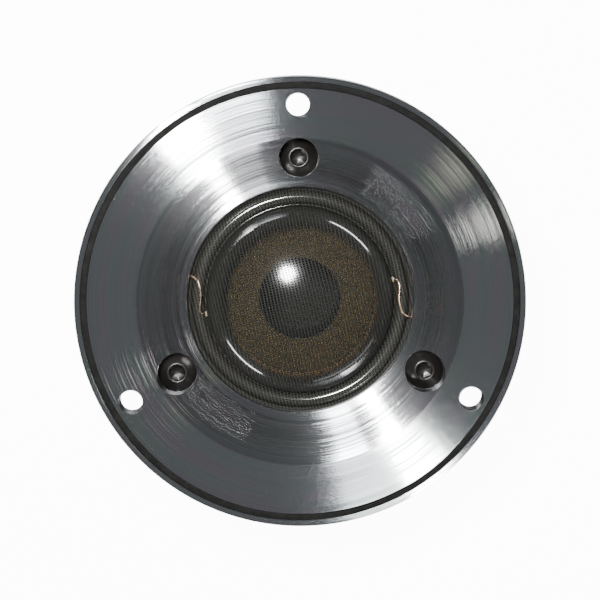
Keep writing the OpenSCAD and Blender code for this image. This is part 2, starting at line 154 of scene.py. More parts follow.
# ------------------------------------------------------------------ shapes as grids of points
def grid_faces(rows, columns, wrap_rows, wrap_columns=True):
    """Four-cornered faces of a grid of points that is numbered row by row."""
    row = np.arange(rows if wrap_rows else rows - 1)
    column = np.arange(columns if wrap_columns else columns - 1)
    row, column = np.meshgrid(row, column, indexing="ij")
    next_row, next_column = (row + 1) % rows, (column + 1) % columns
    corners = [
        row * columns + column, row * columns + next_column,
        next_row * columns + next_column, next_row * columns + column,
    ]
    return np.stack(corners, -1).reshape(-1, 4)


def turned(outline, closed=True, segments=256):
    """A turned shape: every outline point (r, z) is carried round the axis as a circle. An open
    outline starts and ends on the axis."""
    r, z = np.array(outline, float).T
    angle = np.arange(segments) * TAU / segments
    points = np.stack(
        [np.outer(r, np.cos(angle)), np.outer(r, np.sin(angle)), np.outer(z, np.ones(segments))], -1
    )
    return points.reshape(-1, 3), grid_faces(len(r), segments, closed)


def rounded(corners, steps=4):
    """A closed outline from corners (r, z, rounding). Each corner becomes a short curve that starts
    and ends at the rounding's distance along its two sides."""
    points = []
    for i, (x, y, rounding) in enumerate(corners):
        here = Vector((x, y))
        back = Vector(corners[i - 1][:2]) - here
        ahead = Vector(corners[(i + 1) % len(corners)][:2]) - here
        size = min(rounding, 0.45 * back.length, 0.45 * ahead.length)
        if size < 0.001:
            points.append((x, y))
            continue
        start, end = here + back.normalized() * size, here + ahead.normalized() * size
        for t in np.linspace(0, 1, steps + 1):
            points.append(tuple(start * (1 - t) ** 2 + here * 2 * t * (1 - t) + end * t ** 2))
    return points


def block(size, rounding=0.0):
    """A box of size (x, y, z) whose base is centred on the origin."""
    x, y, z = size[0] / 2, size[1] / 2, size[2]
    points = np.array([(i * x, j * y, k * z) for k in (0, 1) for j in (-1, 1) for i in (-1, 1)], float)
    faces = np.array([(0, 2, 3, 1), (4, 5, 7, 6), (0, 1, 5, 4), (2, 6, 7, 3), (0, 4, 6, 2), (1, 3, 7, 5)])
    return points, faces


def placed(shape, r, degrees, z, turn=0.0):
    """A shape turned by turn about its own axis, moved out to radius r and height z, and carried
    round the main axis."""
    points, faces = shape
    own, main = math.radians(turn), math.radians(degrees)
    matrix = Matrix.Rotation(main, 4, "Z") @ Matrix.Translation((r, 0, z)) @ Matrix.Rotation(own, 4, "Z")
    m = np.array(matrix)
    return points @ m[:3, :3].T + m[:3, 3], faces


def joined(shapes):
    """Several shapes as one set of points and one set of faces."""
    points, faces, count = [], [], 0
    for shape_points, shape_faces in shapes:
        points.append(shape_points)
        faces.append(shape_faces + count)
        count += len(shape_points)
    return np.concatenate(points), np.concatenate(faces)


def mesh_object(name, shapes, merge=True):
    """A mesh object of the given shapes, with its poles merged and its faces turned outwards."""
    points, faces = joined(shapes)
    mesh = bpy.data.meshes.new(name)
    mesh.from_pydata((points * MM).tolist(), [], faces.tolist())
    if merge:
        work = bmesh.new()
        work.from_mesh(mesh)
        bmesh.ops.remove_doubles(work, verts=work.verts, dist=1e-7)
        bmesh.ops.recalc_face_normals(work, faces=work.faces)
        work.to_mesh(mesh)
        work.free()
    item = bpy.data.objects.new(name, mesh)
    bpy.context.scene.collection.objects.link(item)
    return item


def applied(item):
    """The same object with its modifiers made real."""
    evaluated = item.evaluated_get(bpy.context.evaluated_depsgraph_get())
    mesh = bpy.data.meshes.new_from_object(evaluated)
    item.modifiers.clear()
    item.data = mesh
    return item


def cut(item, *cutters):
    """The object less each cutter, which is a list of closed shapes that don't touch each other."""
    tools = []
    for shapes in cutters:
        tool = mesh_object("cutter", shapes)
        modifier = item.modifiers.new("cut", "BOOLEAN")
        modifier.operation, modifier.solver, modifier.object = "DIFFERENCE", "MANIFOLD", tool
        tools.append(tool)
    applied(item)
    for tool in tools:
        bpy.data.objects.remove(tool)
    return item


def finished(item, node, material, sharp=35):
    """Gives a new piece its shading, material and slot, and lets it stand for a CAD node."""
    item.data.materials.clear()
    item.data.materials.append(material)
    item.data.shade_smooth()
    item.data.set_sharp_from_angle(angle=math.radians(sharp))
    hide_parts(node)
    return item


def riding(item, node, material, sharp=35):
    """A finished piece that moves with its CAD node's body."""
    finished(item, node, material, sharp)
    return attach(item, BODY_OF[node])


def eased_copy(node, material, easing):
    """A CAD node's mesh copied and merged, with its flat faces rejoined and every edge rounded."""
    mesh = frame["nodes"][node].data.copy()
    work = bmesh.new()
    work.from_mesh(mesh)
    bmesh.ops.remove_doubles(work, verts=work.verts, dist=1e-7)
    bmesh.ops.dissolve_limit(work, angle_limit=math.radians(0.5), verts=work.verts, edges=work.edges)
    work.to_mesh(mesh)
    work.free()
    item = bpy.data.objects.new(node + "_eased", mesh)
    bpy.context.scene.collection.objects.link(item)
    bevel = item.modifiers.new("easing", "BEVEL")
    bevel.width, bevel.segments, bevel.limit_method = easing * MM, 2, "ANGLE"
    bevel.angle_limit = math.radians(35)
    applied(item)
    return riding(item, node, material)


# ------------------------------------------------------------------ materials
class Finish:
    """A material and short calls that add nodes to it. Patterns are measured in millimetres."""

    def __init__(self, name, colour, metallic=0.0, roughness=0.5, **values):
        self.material = bpy.data.materials.new(name)
        self.material.use_nodes = True
        self.tree = self.material.node_tree
        self.shader = self.tree.nodes["Principled BSDF"]
        self.set(self.shader, {"Base Color": (*colour, 1), "Metallic": metallic, "Roughness": roughness})
        self.set(self.shader, {name.replace("_", " "): value for name, value in values.items()})
        coordinates = self.tree.nodes.new("ShaderNodeTexCoord")
        inputs = {0: coordinates.outputs["Object"], "Scale": 1 / MM}
        self.place = self.add("VECT_MATH", inputs, operation="SCALE")

    def set(self, node, inputs):
        """Puts a value or another node's output on each named input."""
        for name, value in inputs.items():
            if isinstance(value, bpy.types.NodeSocket):
                self.tree.links.new(value, node.inputs[name])
            else:
                node.inputs[name].default_value = value

    def add(self, kind, inputs, output=0, **settings):
        """A new node's output."""
        kinds = {"VECT_MATH": "ShaderNodeVectorMath", "MATH": "ShaderNodeMath", "MIX": "ShaderNodeMix"}
        node = self.tree.nodes.new(kinds.get(kind, kind))
        for name, value in settings.items():
            setattr(node, name, value)
        self.set(node, inputs)
        return node.outputs[output]

    def math(self, operation, a, b=0.0, clamp=False):
        """One sum on numbers."""
        return self.add("MATH", {0: a, 1: b}, operation=operation, use_clamp=clamp)

    def noise(self, scale, detail=2.0, vector=None, rough=0.5):
        """Cloudy noise with about scale lumps to the millimetre."""
        inputs = {"Vector": vector or self.place, "Scale": scale, "Detail": detail, "Roughness": rough}
        return self.add("ShaderNodeTexNoise", inputs)

    def spread(self, value, low, high, to_low=0.0, to_high=1.0):
        """A number moved from one range to another, and held inside it."""
        inputs = {"Value": value, 1: low, 2: high, 3: to_low, 4: to_high}
        return self.add("ShaderNodeMapRange", inputs)

    def blend(self, share, a, b):
        """A colour between two others, each given as a tuple or as another node's output."""
        node = self.tree.nodes.new("ShaderNodeMix")
        node.data_type = "RGBA"
        a, b = ((*colour, 1) if isinstance(colour, tuple) else colour for colour in (a, b))
        self.set(node, {0: share, 6: a, 7: b})
        return node.outputs[2]

    def colour_by(self, share, a, b):
        """Base colour between a and b."""
        self.set(self.shader, {"Base Color": self.blend(share, a, b)})

    def roughness_by(self, share, low, high):
        """Roughness between low and high."""
        self.set(self.shader, {"Roughness": self.spread(share, 0.0, 1.0, low, high)})

    def bump(self, height, depth):
        """Relief: height from 0 to 1 stands for depth millimetres."""
        relief = self.add("ShaderNodeBump", {"Height": height, "Distance": depth * MM})
        self.set(self.shader, {"Normal": relief})

    def normal(self):
        """The surface's own direction."""
        return self.add("ShaderNodeNewGeometry", {}, output=1)

    def lean(self, outward, slope):
        """Tilts the surface away from the main axis by a slope, as round tool marks do."""
        tilt = self.add("VECT_MATH", {0: outward, "Scale": slope}, operation="SCALE")
        total = self.add("VECT_MATH", {0: self.normal(), 1: tilt}, operation="ADD")
        self.set(self.shader, {"Normal": self.add("VECT_MATH", {0: total}, operation="NORMALIZE")})

    def radius(self):
        """Distance from the main axis."""
        flat = self.add("VECT_MATH", {0: self.place, 1: (1, 1, 0)}, operation="MULTIPLY")
        return flat, self.add("VECT_MATH", {0: flat}, output=1, operation="LENGTH")

    def rings(self, per_mm, detail=2.0, wander=0.15):
        """Noise that changes fast with radius and slowly round the axis, as a lathe tool leaves."""
        flat, r = self.radius()
        outward = self.add("VECT_MATH", {0: flat}, operation="NORMALIZE")
        around = self.add("VECT_MATH", {0: outward, "Scale": wander}, operation="SCALE")
        along = self.add("ShaderNodeCombineXYZ", {"Z": self.math("MULTIPLY", r, per_mm)})
        vector = self.add("VECT_MATH", {0: around, 1: along}, operation="ADD")
        return outward, self.noise(1.0, detail, vector)


def turned_aluminium():
    """Bare turned aluminium: round tool marks tilt the surface outwards and inwards but not
    sideways. They are steeper in the flare. Upright walls are duller and painted darker than the
    face, as painted shade, and darkest in the holes, where shade is painted. The flare is painted
    darker too, as painted shade, and a green-to-pink tint in rings is a painted reflection of the
    rainbow colours of turned metal."""
    finish = Finish("turned_aluminium", (0.83, 0.84, 0.86), 1.0, 0.14, Anisotropic=1.0)
    outward, fine = finish.rings(9.0, 2.0, 0.12)
    coarse = finish.rings(1.7, 3.0, 0.14)[1]
    r = finish.radius()[1]
    flare = finish.spread(r, MOUTH_R + 0.8, MOUTH_R - 2.0)
    fine_slope, coarse_slope = (
        finish.math("MULTIPLY", finish.math("SUBTRACT", marks, 0.5), finish.spread(flare, 0, 1, *slopes))
        for marks, slopes in ((fine, (1.2, 2.4)), (coarse, (0.12, 0.6)))
    )
    finish.lean(outward, finish.math("ADD", fine_slope, coarse_slope))
    upright = finish.add("ShaderNodeSeparateXYZ", {0: finish.normal()}, output=2)
    wall = finish.spread(finish.math("ABSOLUTE", upright), 0.5, 0.2)
    rise = finish.add("ShaderNodeCombineXYZ", {"Z": finish.math("MULTIPLY", wall, 4.0)})
    finish.set(finish.shader, {"Tangent": finish.add("VECT_MATH", {0: outward, 1: rise}, operation="ADD")})
    # Painted shade: walls inside the flange's edge, in the holes, counterbores, groove and throat, are
    # painted near black.
    inside = finish.math("MULTIPLY", wall, finish.spread(r, FLANGE_R - 0.5, FLANGE_R - 1))
    # Painted reflection: a green-to-pink tint in slow rings stands in for the rainbow colours that turned
    # metal shows in its reflections.
    painted_rainbow_tint = finish.rings(0.5, 3.0, 2.0)[1]
    bare = finish.blend(finish.spread(painted_rainbow_tint, 0.35, 0.65), (0.81, 0.88, 0.86), (0.88, 0.83, 0.9))
    # Painted shade: the flare is painted darker than the face, halfway to a mid grey.
    bare = finish.blend(finish.math("MULTIPLY", flare, 0.5), bare, (0.6, 0.61, 0.62))
    along = finish.add("VECT_MATH", {0: finish.place, 1: (0, 0, 5)}, operation="MULTIPLY")
    side_marks = finish.noise(1.0, 4.0, finish.add("VECT_MATH", {0: along, 1: outward}, operation="ADD"))
    # Painted shade: upright walls get a darker colour than the face; the noise in it is tool marks.
    side = finish.blend(finish.spread(side_marks, 0.3, 0.7), (0.36, 0.365, 0.37), (0.52, 0.525, 0.53))
    skin = finish.blend(wall, bare, side)
    finish.set(finish.shader, {"Base Color": finish.blend(inside, skin, (0.16, 0.16, 0.16))})
    gloss = finish.spread(coarse, 0.3, 0.7, 0.115, 0.13)
    gloss = finish.math("ADD", gloss, finish.math("MULTIPLY", flare, 0.06))
    finish.set(finish.shader, {"Roughness": finish.math("ADD", gloss, finish.math("MULTIPLY", wall, 0.25))})
    return finish.material


def soft_black(name, colour, roughness, grain, depth):
    """Black rubber or nylon with a fine grain and dull, slightly dusty patches."""
    finish = Finish(name, colour, 0.0, roughness, Specular_IOR_Level=0.12)
    dust = finish.noise(0.8, 4.0)
    finish.colour_by(finish.spread(dust, 0.4, 0.75), colour, tuple(2.2 * c for c in colour))
    finish.roughness_by(finish.noise(2.5, 3.0), roughness - 0.1, roughness + 0.15)
    finish.bump(finish.noise(grain, 3.0), depth)
    return finish.material


def metal(name, dark, light, roughness, grain=3.0, depth=0.004, metallic=1.0, **values):
    """A plated, cast or drawn metal whose tone and gloss vary in soft patches."""
    finish = Finish(name, light, metallic, roughness, **values)
    patches = finish.noise(0.25, 4.0)
    finish.colour_by(finish.spread(patches, 0.1, 0.9), dark, light)
    finish.roughness_by(finish.noise(1.3, 4.0), roughness - 0.05, roughness + 0.06)
    finish.bump(finish.noise(grain, 4.0), depth)
    return finish.material


def turned_metal(name, dark, light, roughness, per_mm=6.0, depth=0.006, metallic=1.0):
    """A metal with round tool marks."""
    finish = Finish(name, light, metallic, roughness)
    marks = finish.rings(per_mm, 3.0, 0.5)[1]
    patches = finish.noise(0.25, 4.0)
    finish.colour_by(finish.spread(patches, 0.1, 0.9), dark, light)
    finish.roughness_by(marks, roughness - 0.08, roughness + 0.1)
    finish.bump(marks, depth)
    return finish.material


def thread_waves(finish, degrees, pitch):
    """A wave from 0 to 1 across threads of one direction, with a crest on each thread."""
    a = math.radians(degrees)
    across = finish.add(
        "VECT_MATH", {0: finish.place, 1: (math.cos(a), math.sin(a), 0)}, output=1, operation="DOT_PRODUCT"
    )
    wander = finish.math("MULTIPLY", finish.noise(0.12, 1.0), 1.2 * pitch)
    phase = finish.math("MULTIPLY", finish.math("ADD", across, wander), TAU / pitch)
    return finish.spread(finish.math("COSINE", phase), -1.0, 1.0)


WEAVE_LEAN = 12.5
WARP_PITCH = 0.48
WEFT_PITCH = 0.36


def coated_silk(name, relief, lightness, gloss_r, open_share=0.0):
    """Pressed silk cloth under a clear coat, which is thin outside gloss_r. The threads are dark,
    and the coat over the gaps between them lets some light through by open_share."""
    finish = Finish(
        name, (0.02, 0.02, 0.017), 0.0, 0.75,
        Specular_IOR_Level=0.15, Coat_Weight=1.0, Coat_Roughness=0.11, Coat_IOR=1.7,
    )
    r = finish.radius()[1]
    finish.set(finish.shader, {"Coat Weight": finish.spread(r, gloss_r, gloss_r + 0.5, 1.0, 0.12)})
    warp = thread_waves(finish, WEAVE_LEAN, WARP_PITCH)
    weft = thread_waves(finish, WEAVE_LEAN + 90, WEFT_PITCH)
    threads = finish.math("MAXIMUM", warp, finish.math("MULTIPLY", weft, 0.75))
    dark, light = (tuple(lightness * c for c in colour) for colour in ((0.2, 0.2, 0.17), (1, 1, 0.85)))
    finish.colour_by(finish.spread(threads, 0.3, 0.95), dark, light)
    lumps = finish.math("MULTIPLY", finish.noise(1.5, 0.0), 0.3)
    finish.bump(finish.math("ADD", finish.math("MULTIPLY", threads, 0.7), lumps), relief)
    if open_share:
        thin = finish.spread(r, 12.0, 10.9)
        gap = finish.math("MULTIPLY", finish.spread(threads, 0.85, 0.35), thin)
        finish.set(finish.shader, {"Alpha": finish.spread(gap, 0.0, 1.0, 1.0, 1 - open_share)})
    return finish.material


def fibres(name, dark, light, per_mm, depth):
    """Felt, fleece or foam: tangled fibres with a soft sheen."""
    finish = Finish(name, light, 0.0, 0.95, Sheen_Weight=0.4)
    tangle = finish.noise(per_mm, 6.0, rough=0.7)
    finish.colour_by(finish.spread(tangle, 0.3, 0.7), dark, light)
    finish.bump(tangle, depth)
    return finish.material


def glue():
    """Beige adhesive, glossy and a little cloudy."""
    finish = Finish("dried_glue", (0.4, 0.34, 0.22), 0.0, 0.3, Coat_Weight=0.6, Coat_Roughness=0.15)
    finish.colour_by(finish.noise(2.0, 3.0), (0.24, 0.2, 0.12), (0.5, 0.44, 0.3))
    finish.roughness_by(finish.noise(3.0), 0.2, 0.45)
    finish.bump(finish.noise(2.5), 0.03)
    return finish.material


def film():
    """Amber film of the coil former, glossy, with faint streaks round it."""
    finish = Finish("amber_film", (0.06, 0.03, 0.012), 0.0, 0.25, Coat_Weight=0.5)
    streaks = finish.noise(1.0, 4.0)
    finish.colour_by(streaks, (0.035, 0.016, 0.007), (0.08, 0.04, 0.016))
    finish.roughness_by(streaks, 0.18, 0.35)
    return finish.material


# ------------------------------------------------------------------ faceplate
FLARE_FROM = math.radians(18)
FLARE_TO = math.radians(152)


def flare_height(r):
    """The flare is part of a cosine wave from the throat's edge to the face, and carries three
    shallow waves that the lathe tool left."""
    t = (r - THROAT_R) / (MOUTH_R - THROAT_R)
    span = math.cos(FLARE_FROM) - math.cos(FLARE_TO)
    share = (math.cos(FLARE_FROM) - np.cos(FLARE_FROM + (FLARE_TO - FLARE_FROM) * t)) / span
    waves = 0.016 * np.sin(TAU * r / 1.13) + 0.008 * np.sin(TAU * r / 0.61 + 1)
    waves = waves + 0.003 * np.sin(TAU * r / 0.29)
    fade = np.clip(np.minimum(t, 1 - t) * 8, 0, 1)
    return THROAT_Z + (FACE_Z - THROAT_Z) * share + waves * fade


def bore(rows):
    """A closed turned cutter from (r, z) rows, from its lower end to its upper end."""
    return turned([(0, rows[0][1])] + list(rows) + [(0, rows[-1][1])], False, 72)


def faceplate(material):
    """The turned faceplate, less its mounting holes, counterbores, pockets and pin holes."""
    flare_r = np.linspace(THROAT_R, MOUTH_R, 110)
    flare = np.stack([flare_r, flare_height(flare_r)], -1)[1:-1]
    groove_in_r = GROOVE_R - GROOVE_W
    body = rounded([
        (MOUTH_R, FACE_Z, 0.12),
        (groove_in_r, FACE_Z, 0.04), (groove_in_r, GROOVE_Z, 0.1),
        (GROOVE_R, GROOVE_Z, 0.1), (GROOVE_R, FACE_Z, 0.04),
        (FLANGE_R, FACE_Z, 0.3), (FLANGE_R, 0, 0.25),
        (SPIGOT_R, 0, 0.1), (SPIGOT_R, SPIGOT_Z, 0.25), (RECESS_R, SPIGOT_Z, 0.15),
        (RECESS_R, FRAME_TOP_Z, 0.1), (LANDING_CLEAR_R, FRAME_TOP_Z, 0.05),
        (LANDING_CLEAR_R, LIP_Z, 0.05), (THROAT_R, LIP_Z, 0.15), (THROAT_R, THROAT_Z, 0.15),
    ])
    item = mesh_object("faceplate_turned", [turned(body + flare.tolist(), True, 480)])
    mount = bore([
        (MOUNT_HOLE_R + 0.15, -0.2), (MOUNT_HOLE_R, 0.15), (MOUNT_HOLE_R, FACE_Z - 0.22),
        (MOUNT_HOLE_R + 0.05, FACE_Z - 0.1), (MOUNT_HOLE_R + 0.35, FACE_Z + 0.2),
    ])
    head_r = SCREW_HEAD_R + FIT
    counterbore = bore([
        (1.6, FRAME_TOP_Z - 1), (1.6, SCREW_SEAT_Z), (head_r, SCREW_SEAT_Z), (head_r, FACE_Z + 1),
    ])
    pin = bore([(1.05, FRAME_TOP_Z - 1), (1.05, 0.0)])
    pocket = block((RECESS_R - FIT - LANDING_CLEAR_R + 0.5, 6.0, 2.1))
    channel = block((LANDING_CLEAR_R - THROAT_R + 1, 1.6, 2.1))
    pocket_r = (RECESS_R - FIT + LANDING_CLEAR_R - 0.5) / 2
    channel_r = (LANDING_CLEAR_R + THROAT_R - 1) / 2
    cut(
        item,
        [placed(mount, MOUNT_R, a, 0) for a in SCREW_ANGLES],
        [placed(counterbore, SCREW_R, a, 0) for a in SCREW_ANGLES],
        [placed(pin, SCREW_R, a, 0) for a in PIN_ANGLES],
        [placed(pocket, pocket_r, a, FRAME_TOP_Z - 1) for a in LEAD_ANGLES],
        [placed(channel, channel_r, a, FRAME_TOP_Z - 1) for a in LEAD_ANGLES],
    )
    return riding(item, "faceplate", material, 30)


def groove_ring(material):
    """The rubber ring: its top swells and dips by a few hundredths as it is pressed in."""
    top, outer, inner = top_of("groove_ring"), GROOVE_R - 0.01, GROOVE_R - GROOVE_W + 0.01
    outline = rounded([
        (outer, GROOVE_Z, 0.1), (outer, top, 0.12), (inner, top, 0.12), (inner, GROOVE_Z, 0.1),
    ], 5)
    points, faces = turned(outline, True, 360)
    angle = np.arctan2(points[:, 1], points[:, 0])
    swell = 0.03 * np.sin(7 * angle) + 0.02 * np.sin(23 * angle + 1) + 0.012 * np.sin(61 * angle)
    share = (points[:, 2] - GROOVE_Z) / (top - GROOVE_Z)
    points[:, 2] += swell * share
    return riding(mesh_object("groove_ring_rubber", [(points, faces)]), "groove_ring", material)


# ------------------------------------------------------------------ screws
def hexagon(angle):
    """Distance of a hexagon's outline from its middle, for a width across flats of 2."""
    sixth = TAU / 6
    return 1 / np.cos((angle + sixth / 2) % sixth - sixth / 2)


def socket_screw(shank_r, shank_l, head, socket_depth, knurl=0.0, pitch=0.5, segments=72):
    """A threaded shank from its tip up, then the head's (r, z) rows, then a hexagon socket. The
    thread's radius follows a triangle wave of height less angle. The seat is at z = 0."""
    angle = np.arange(segments) * TAU / segments
    rise = np.linspace(-shank_l, 0, int(shank_l / pitch * 6) + 1)
    wave = np.abs(((rise[:, None] / pitch - angle / TAU) % 1) * 2 - 1)
    taper = np.clip((rise + shank_l) / 0.5, 0, 1)[:, None]
    thread = shank_r - 0.35 + (0.3 * wave) * taper
    top = head[-1][1]
    rows = [(0 * angle, -shank_l), (0.7 * shank_r + 0 * angle, -shank_l)]
    rows += list(zip(thread, rise))
    for r, z in head:
        ridges = knurl * np.abs(np.sin(18 * angle)) if r > 0.97 * max(p[0] for p in head) else 0
        rows.append((r - ridges + 0 * angle, z))
    mouth, hexa = SOCKET_R * 1.2, SOCKET_R * hexagon(angle)
    rows += [
        (mouth + 0.06 + 0 * angle, top), (mouth + 0 * angle, top - 0.03),
        (0.5 * mouth + 0.5 * hexa, top - 0.14), (hexa, top - 0.2),
        (hexa, top - socket_depth), (0.85 * hexa, top - socket_depth - 0.05),
        (0 * angle, top - socket_depth - 0.35),
    ]
    r = np.stack([row[0] for row in rows])
    z = np.array([row[1] for row in rows])[:, None] + 0 * angle
    points = np.stack([r * np.cos(angle), r * np.sin(angle), z], -1).reshape(-1, 3)
    return points, grid_faces(len(rows), segments, False)


def button_head():
    """Rows of a button head: a short edge, then an arc to a small flat round the socket."""
    edge = 0.2
    rise = SCREW_HEAD_H - edge
    arc_r = (SCREW_HEAD_R ** 2 + rise ** 2) / (2 * rise)
    r = np.linspace(SCREW_HEAD_R - 0.02, 1.42, 14)
    z = SCREW_HEAD_H - arc_r + np.sqrt(arc_r ** 2 - r ** 2)
    low = [(SCREW_HEAD_R - 0.12, 0), (SCREW_HEAD_R - 0.03, 0.03), (SCREW_HEAD_R, 0.1)]
    return low + list(zip(r, z))


def cap_head(r, h):
    """Rows of a cylindrical head with rounded edges."""
    return [(r - 0.15, 0), (r - 0.04, 0.04), (r, 0.15), (r, h - 0.3), (r - 0.06, h - 0.12), (r - 0.2, h)]


def faceplate_screws(material):
    """Three button-head screws, each stopped at its own angle."""
    screw = socket_screw(THREAD_R, SCREW_L, button_head(), 0.8)
    turns = (14, 41, 22)
    shapes = [placed(screw, SCREW_R, a, SCREW_SEAT_Z, t) for a, t in zip(SCREW_ANGLES, turns)]
    return riding(mesh_object("faceplate_screws_threaded", shapes), "faceplate_screws", material, 30)


def rear_screws(material):
    """Three cap-head screws that face backwards."""
    seat = BACK_Z + REAR_RECESS
    points, faces = socket_screw(1.25, REAR_TIP_Z - seat, cap_head(REAR_HEAD_R, REAR_HEAD_H), 1.2, 0.07, 0.45)
    screw = (points * (1, -1, -1), faces)
    shapes = [placed(screw, REAR_SCREW_R, a, seat, 17 * i) for i, a in enumerate(REAR_SCREW_ANGLES)]
    return riding(mesh_object("rear_chamber_screws_threaded", shapes), "rear_chamber_screws", material, 30)


# ------------------------------------------------------------------ diaphragm
CROWN_R = 26.0
SHOULDER_R = 3.5
SHOULDER_X = DOME_R - SHOULDER_R
SHOULDER_Z = FRAME_TOP_Z + 2 * CLOTH_T
CROWN_Z = SHOULDER_Z - math.sqrt((CROWN_R - SHOULDER_R) ** 2 - SHOULDER_X ** 2)


def dome_profile(inset):
    """The dome's face moved inwards by inset, from the axis out: the crown's arc, the shoulder's
    arc, which meets it without a corner, and a short skirt."""
    meet = math.atan2(SHOULDER_X, SHOULDER_Z - CROWN_Z)
    a = np.linspace(0, meet, 60)
    crown = np.stack([(CROWN_R - inset) * np.sin(a), CROWN_Z + (CROWN_R - inset) * np.cos(a)], -1)
    b = np.linspace(meet, math.pi / 2, 40)[1:]
    r = SHOULDER_R - inset
    shoulder = np.stack([SHOULDER_X + r * np.sin(b), SHOULDER_Z + r * np.cos(b)], -1)
    skirt = [(DOME_R - inset, FRAME_TOP_Z)]
    return np.concatenate([crown, shoulder, skirt])


def dome(material):
    """The pressed cloth cap as a shell of two turned faces that meet at the skirt's edge."""
    outline = np.concatenate([dome_profile(0), dome_profile(CLOTH_T)[::-1]])
    item = mesh_object("dome_cloth", [turned(outline, False, 360)])
    return riding(item, "dome", material, 60)


def smooth(t):
    """Three squares less two cubes of a share held from 0 to 1, which starts and ends gently."""
    t = np.clip(t, 0, 1)
    return t * t * (3 - 2 * t)


def bending(item):
    """Bakes the piece's transform into its mesh."""
    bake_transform(item)
    return item


def points_of(item):
    """An object's vertices, in millimetres."""
    points = np.zeros(len(item.data.vertices) * 3)
    item.data.vertices.foreach_get("co", points)
    return points.reshape(-1, 3) / MM


def surround(material):
    """The half-roll and its landing: two arcs a cloth's thickness apart, a flat ring outside
    them, and a narrow lip inside them that covers the former's edge."""
    middle = COIL_R + ROLL_R
    a = np.linspace(math.pi, 0.08, 36)
    upper = np.stack([middle + ROLL_R * np.cos(a), FRAME_TOP_Z + ROLL_R * np.sin(a)], -1)
    inner_r = ROLL_R - CLOTH_T
    b = np.linspace(0, math.pi, 30)
    lower = np.stack([middle + inner_r * np.cos(b), FRAME_TOP_Z + inner_r * np.sin(b)], -1)
    landing = [
        (ROLL_OUT_R + 0.06, FRAME_TOP_Z + CLOTH_T), (LANDING_R - 0.05, FRAME_TOP_Z + CLOTH_T),
        (LANDING_R, FRAME_TOP_Z + 0.5 * CLOTH_T), (LANDING_R, FRAME_TOP_Z), (ROLL_OUT_R, FRAME_TOP_Z),
    ]
    top = FRAME_TOP_Z + CLOTH_T
    lip = [(COIL_R, top), (DOME_R + 0.01, top), (DOME_R + 0.01, top + 0.12), (COIL_R + 0.03, top + 0.05)]
    outline = np.concatenate([lip, upper[6:], landing, lower])
    item = finished(mesh_object("surround_cloth", [turned(outline, True, 360)]), "surround", material, 60)
    r = np.hypot(*points_of(item)[:, :2].T)
    return bending(item)


def winding(material):
    """Enamelled wire wound on the former: one ridge for each turn, and flat ends."""
    low, high = low_of("voice_coil_winding"), top_of("voice_coil_winding")
    outer = width_of("voice_coil_winding")
    turns = 22
    z = np.linspace(low, high, turns * 6 + 1)[1:-1]
    r = outer - 0.06 + 0.06 * np.abs(np.sin(math.pi * turns * (z - low) / (high - low)))
    outline = [(COIL_R, high), (COIL_R, low)] + list(zip(r, z))
    item = mesh_object("voice_coil_turns", [turned(outline, True, 192)])
    return riding(item, "voice_coil_winding", material, 80)


# A lead's route from its solder joint to its glue spot, as (distance outside the former, angle,
# height above the frame). The angle is counted from where the lead leaves the throat.
LEAD_ROUTE = [
    (5.3, 0, 0.65), (4.2, 0, 0.7), (3.2, 0, 0.8), (2.6, 0.1, 0.9), (1.9, 0.6, 1.25), (1.3, 2, 1.6),
    (0.95, 4.2, 1.7), (0.7, 7, 1.7), (0.6, 10, 1.65), (0.65, 13.2, 1.6), (0.75, 16, 1.55),
    (0.8, 18.2, 1.45), (0.7, 19.9, 1.3), (0.45, 20.9, 1), (0.15, 21.2, 0.8),
]
LEAD_R = 0.15
LEAD_SAMPLES = 8


def smooth_route(points):
    """Points along a curve that passes through every given point: between two of them it is the
    cubic whose slopes there are half the step between their neighbours."""
    p = np.vstack([2 * points[0] - points[1], points, 2 * points[-1] - points[-2]])
    t = (np.arange(LEAD_SAMPLES) / LEAD_SAMPLES)[:, None]
    parts = []
    for a, b, c, d in zip(p, p[1:], p[2:], p[3:]):
        parts.append(
            b + 0.5 * t * (c - a) + t ** 2 * (a - 2.5 * b + 2 * c - 0.5 * d)
            + t ** 3 * (1.5 * b - 1.5 * c + 0.5 * d - 0.5 * a)
        )
    return np.vstack(parts + [points[-1:]])


def tinsel(route, radius, sides=20):
    """A bundle of seven strands twisted along a route: the section's radius ripples seven times
    round, and the ripple turns with the distance along the route. Both ends close to a point."""
    way = np.gradient(route, axis=0)
    way /= np.linalg.norm(way, axis=1)[:, None]
    side = np.cross(way, (0, 0, 1))
    side /= np.linalg.norm(side, axis=1)[:, None]
    up = np.cross(side, way)
    length = np.concatenate([[0], np.cumsum(np.linalg.norm(np.diff(route, axis=0), axis=1))])
    angle = np.arange(sides) * TAU / sides
    ripple = np.abs(np.cos(3.5 * (angle[None] - 5.0 * length[:, None])))
    r = radius * (0.8 + 0.2 * ripple)
    r[[0, -1]] = 0
    ring = side[:, None] * (r * np.cos(angle))[..., None] + up[:, None] * (r * np.sin(angle))[..., None]
    points = (route[:, None] + ring).reshape(-1, 3)
    return points, grid_faces(len(route), sides, False), length


def lead_wire(name, node, degrees, material):
    """A tinsel lead that leaves the throat, crosses the roll and ends on the coil's edge."""
    out, turn, rise = np.array(LEAD_ROUTE).T
    a = np.radians(turn + degrees)
    r = COIL_R + out
    route = smooth_route(np.stack([r * np.cos(a), r * np.sin(a), FRAME_TOP_Z + rise], -1))
    points, faces, length = tinsel(route, LEAD_R)
    item = finished(mesh_object(name, [(points, faces)]), node, material, 60)
    vertices = points_of(item)
    return bending(item)


